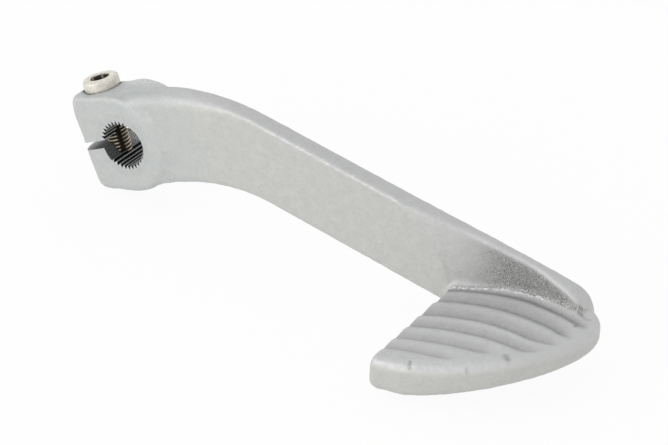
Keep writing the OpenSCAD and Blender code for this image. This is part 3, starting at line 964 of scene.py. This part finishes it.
def platedSteel():
    # zinc plate gone cream with age; painted shade in the socket, a painted shadow under the head, and
    # painted shade, highlight and a dark reflection down the thread
    made, tree = material("platedSteel")
    where = placeOn(tree)
    v = steelFinish
    y = addNode(tree, "SeparateXYZ", Vector=where).outputs[1]
    # place in the screw's own frame: across, along and distance from its middle line
    c, s = turnOf(clamp["screwLean"])
    dot = lambda *line: addNode(tree, "VectorMath", {"operation": "DOT_PRODUCT"}, i0=where,
                                i1=line).outputs["Value"]
    across = calc("ADD", dot(c, 0.0, s), clamp["screwOffset"] * 0.001)
    along = calc("SUBTRACT", dot(-s, 0.0, c), clamp["seat"] * 0.001)
    square = calc("ADD", product(across, across), product(y, y))
    radius = addNode(tree, "Math", {"operation": "SQRT"}, i0=square).outputs[0]
    clouds = ramp(grain(where, v["cloudScale"], 3), 0.35, 0.68)
    fine = grain(where, v["fineScale"], 2, 0.6)
    spots = ramp(grain(where, v["spotScale"], 2), 0.37, 0.29)
    head = mixColour(clouds, v["plate"], v["plateLight"])
    head = mixColour(product(spots, 0.45), head, v["spot"])
    # painted shade inside the socket
    inside = ramp(along, 0.0061, 0.0055, (0.0, 0.97))
    inside = product(ramp(radius, 0.00300, 0.0026), inside)
    head = mixColour(inside, head, v["socket"])
    # painted shadow round the foot of the head, where it sits in its pocket
    head = mixColour(ramp(along, 0.0031, 0.0026, (0.0, 0.88)), head, v["underHead"])
    # thread: flanks painted bright as highlight, roots painted dark as shade, and a painted dark
    # reflection down its outer side
    root = screwSize["diameter"] * 0.0005 - screwSize["thread"] * 0.001
    thread = mixColour(ramp(radius, root + 0.00020, root + 0.00046), v["root"], v["crest"])
    side = calc("ARCTAN2", y, across)
    # painted dark reflection down one side of the thread
    darkReflection = product(heldBetween(side, -0.80, -0.52, 0.26), ramp(along, 0.0, -0.0003))
    thread = mixColour(darkReflection, thread, v["root"])
    base = mixColour(ramp(along, -0.0003, 0.0), thread, head)
    gloss = calc("MAXIMUM", ramp(fine, 0.3, 0.7, v["gloss"]), product(darkReflection, 0.9))
    dress(base, v["metallic"], gloss, fine, v["bump"])
    return made


# edge, dome, crest and flash wear, and painted shade in the nicks and along the hub's upper front edge
wearAndShade = {
    "edges": 0.55, "backDome": 0.6, "ribCrests": 0.3, "flash": 0.7,
    "nickShade": 0.6, "browShade": 0.11,
}


def paint(mesh, **masks):
    # one number from 0 to 1 for each point, under each mask's name
    for name, values in masks.items():
        layer = mesh.attributes.new(name, "FLOAT", "POINT")
        layer.data.foreach_set("value", np.clip(values, 0, 1).astype(np.float32))


def groundMask(p):
    # faces in the outer planes and the pad's wall
    x, y, _ = p.T
    onPad = ease(99, 102, x) * ease(-6.9, -7.4, y)
    return ease(-6.3, -6.55, y) * (1 - onPad) + onPad * ease(-0.9, -1.9, aboveTreadPlane(p))


def roughMask(p, n):
    # the pocket's wall from the flash to a margin under the arm's upper edge
    x, y, z = p.T
    above = aboveTreadPlane(p)
    beyondFlash = np.maximum(ease(-0.1, 0.4, y - flashAt(x)), ease(0.3, 0.8, above)) * (y < -1)
    margin = 1.3 + 0.6 * ease(118, 138, x)
    rough = ease(104, 118, x) * (1 - ease(138.5, 141, x)) * beyondFlash
    rough *= ease(0.8 - margin, -0.8 - margin, z - armTopAt(x))
    inWall = ease(-6.65, -6.3, y) * (1 - ease(136, 138.5, x))
    rough *= np.maximum(inWall, ease(133, 136, x) * ease(2.6, 1.4, above))
    rough *= ease(-1.0, 0.0, above) * (1 - ease(134, 137, x) * ease(1.6, 2.8, above))
    return rough * ease(0.75, 0.55, n[:, 0])


def treadMask(p):
    # the ribs and grooves, without the pad's rim
    x, y, _ = p.T
    above = aboveTreadPlane(p)
    return ease(101, 103, x) * ease(-2.6, -1.6, above) * (1 - ease(0.1, 0.5, above)) * (y < -2.5)


def grimeMask(p, n, ribs, grooves):
    # painted shade in the grooves of the tread and the nicks and on the hub's upper front edge, and a
    # painted shadow round the screw's pocket
    x, y, z = p.T
    shade = grooves
    # painted shade along each nick
    for nick in nicks:
        shade = np.maximum(shade, wearAndShade["nickShade"] * hump(toNick(x, y, nick), 0, nick[4]))
    towardsEdge = ease(0.15, 0.45, -n[:, 1] * n[:, 2])
    # painted shade toning down the light on the hub's upper front edge
    brow = wearAndShade["browShade"] * towardsEdge * ease(27, 20, np.hypot(x, z)) * (z > 8)
    c, s = turnOf(clamp["screwLean"])
    fromScrew = np.hypot(x * c + z * s + clamp["screwOffset"], y) - clamp["headPocket"]
    # painted shadow of the screw's head round the rim of its pocket
    well = ease(0.6, 0.15, fromScrew) * (z * c - x * s > clamp["seat"] - 1.6)
    return np.maximum(np.maximum(ribs * shade, brow), well)


def wornMask(p, n, ends, ribs, grooves):
    # edges that stand out from the mean of their neighbours, the hub's back and the rib crests
    x, y, z = p.T
    mean = relax(p, ends, np.full(len(p), 0.5), 6)
    convex = np.einsum("ij,ij->i", p - mean, n)
    offHub = np.hypot(x, z) > 17
    edges = wearAndShade["edges"] * ease(0.05, 0.14, convex) * offHub * (1 - 0.7 * ease(90, 105, x))
    dome = wearAndShade["backDome"] * hump(x, 1, 9) * ease(11, 14, z) * ease(-1, 3, y) * (n[:, 2] > 0.2)
    crests = wearAndShade["ribCrests"] * ribs * ease(0.14, 0.0, grooves) * (1 - 0.5 * ease(125, 140, x))
    return np.maximum(np.maximum(edges, dome), crests)


def paintLever(piece):
    mesh = piece.data
    p, n = coordinates(mesh), normals(mesh)
    ribs, grooves = treadMask(p), treadHeight(p[:, 0], p[:, 1])[1]
    worn = wornMask(p, n, edgeEnds(mesh), ribs, grooves)
    grime = grimeMask(p, n, ribs, grooves)
    paint(mesh, ground=groundMask(p), rough=roughMask(p, n), worn=worn, grime=grime)


def assignLever(piece, finishes):
    # faces inside the bore that don't look along the shaft get the bore's finish, and faces in
    # the slot that look across it get the slot's
    mesh = piece.data
    mesh.materials.clear()
    for finish in finishes:
        mesh.materials.append(finish)
    x, y, z = read(mesh.polygons, "center", 3).T * 1000
    nx, ny, nz = read(mesh.polygons, "normal", 3).T
    inBore = (np.hypot(x, z) < 7.3) & (np.abs(ny) < 0.5) & (np.abs(y) < 7.4)
    c, s = turnOf(clamp["lean"])
    fromSlot = np.abs(z * c - x * s - clamp["slotRise"]) - clamp["slotWidth"] / 2
    inSlot = (fromSlot < 0.02) & (x < -5) & (np.abs(nz * c - nx * s) > 0.9)
    index = np.where(inBore, 1, np.where(inSlot, 2, 0))
    mesh.polygons.foreach_set("material_index", index.astype(np.int32))
    mesh.update()


cast = castAlloy()
paintLever(lever)
assignLever(lever, [cast, boreAlloy(), slotAlloy()])
nothing = np.zeros(len(flash.data.vertices))
paint(flash.data, ground=nothing, rough=nothing, worn=nothing + wearAndShade["flash"], grime=nothing)
flash.data.materials.append(cast)
screw.data.materials.append(platedSteel())
for piece, node, body, finish in ((lever, "kick_lever", "lever", "cast_alloy"),
                                  (flash, "kick_lever", "lever", "cast_alloy"),
                                  (screw, "clamp_screw", "screw", "plated_steel")):
    piece.data.polygons.foreach_set("use_smooth", np.ones(len(piece.data.polygons), bool))
    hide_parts(node)
    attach(piece, body)
print("finishes assigned")


light = {
    "floor": (0.9, 0.9, 0.89), "floorSize": 1.6, "floorWhite": 0.93,
    "overhead": (0.87, 0.875, 0.885), "horizon": (1.0, 1.0, 0.98), "worldStrength": 1.0,
    "keyPlace": (-0.34, -0.68, 0.12), "keyTowards": (0.05, -0.01, 0), "keySize": 0.6, "keyPower": 2.5,
}
white = (1.0, 1.0, 1.0, 1.0)


def paleFloor():
    # square under the lever's lowest point. To the camera and in reflections it is nearly white
    # by itself, and the rest of it takes the shadow
    size = light["floorSize"]
    z = coordinates(lever.data)[:, 2].min() * 0.001
    mesh = bpy.data.meshes.new("paleFloor")
    corners = [(-size, -size, z), (size, -size, z), (size, size, z), (-size, size, z)]
    mesh.from_pydata(corners, [], [(0, 1, 2, 3)])
    floor = newObject("paleFloor", mesh)
    made, tree = material("paleFloor")
    seen = addNode(tree, "LightPath").outputs
    plain = calc("MAXIMUM", seen["Is Camera Ray"], seen["Is Glossy Ray"])
    diffuse = addNode(tree, "BsdfDiffuse", Color=light["floor"] + (1.0,)).outputs[0]
    glow = addNode(tree, "Emission", Color=white, Strength=1.0).outputs[0]
    share = product(plain, light["floorWhite"])
    both = addNode(tree, "MixShader", Fac=share, i1=diffuse, i2=glow).outputs[0]
    addNode(tree, "OutputMaterial", Surface=both)
    mesh.materials.append(made)


def studio():
    # a pale tent: bright low down, dimmer and cooler overhead; white to the camera
    world = bpy.data.worlds.new("studio")
    bpy.context.scene.world = world
    world.use_nodes = True
    tree = world.node_tree
    tree.nodes.clear()
    direction = addNode(tree, "TexCoord").outputs["Generated"]
    up = addNode(tree, "SeparateXYZ", Vector=direction).outputs[2]
    colour = mixColour(ramp(up, 0.02, 0.62), light["horizon"], light["overhead"])
    tent = addNode(tree, "Background", Color=colour, Strength=light["worldStrength"]).outputs[0]
    plain = addNode(tree, "Background", Color=white, Strength=1.0).outputs[0]
    seen = addNode(tree, "LightPath").outputs["Is Camera Ray"]
    both = addNode(tree, "MixShader", Fac=seen, i1=tent, i2=plain).outputs[0]
    addNode(tree, "OutputWorld", Surface=both)


def softLamp(name, where, towards, size, power):
    # square lamp turned to look from where it stands towards a point
    lamp = bpy.data.lights.new(name, "AREA")
    lamp.shape = "SQUARE"
    lamp.size = size
    lamp.energy = power
    holder = newObject(name, lamp)
    holder.location = where
    back = np.array(where, float) - np.array(towards, float)
    back /= np.linalg.norm(back)
    holder.rotation_euler = (math.acos(back[2]), 0, math.atan2(back[0], -back[1]))


paleFloor()
studio()
softLamp("keyLamp", light["keyPlace"], light["keyTowards"], light["keySize"], light["keyPower"])

view = {
    "place": (0.33111, -0.40191, 0.29483), "turn": (58.0675, 0, 33.658),
    "focalLength": 118.56, "filmWidth": 36,
}
lens = bpy.data.cameras.new("camera")
lens.lens = view["focalLength"]
lens.sensor_width = view["filmWidth"]
camera = newObject("camera", lens)
camera.location = view["place"]
camera.rotation_euler = [math.radians(angle) for angle in view["turn"]]
bpy.context.scene.camera = camera
bpy.context.scene.view_settings.view_transform = "Standard"
print("floor, light and camera set")
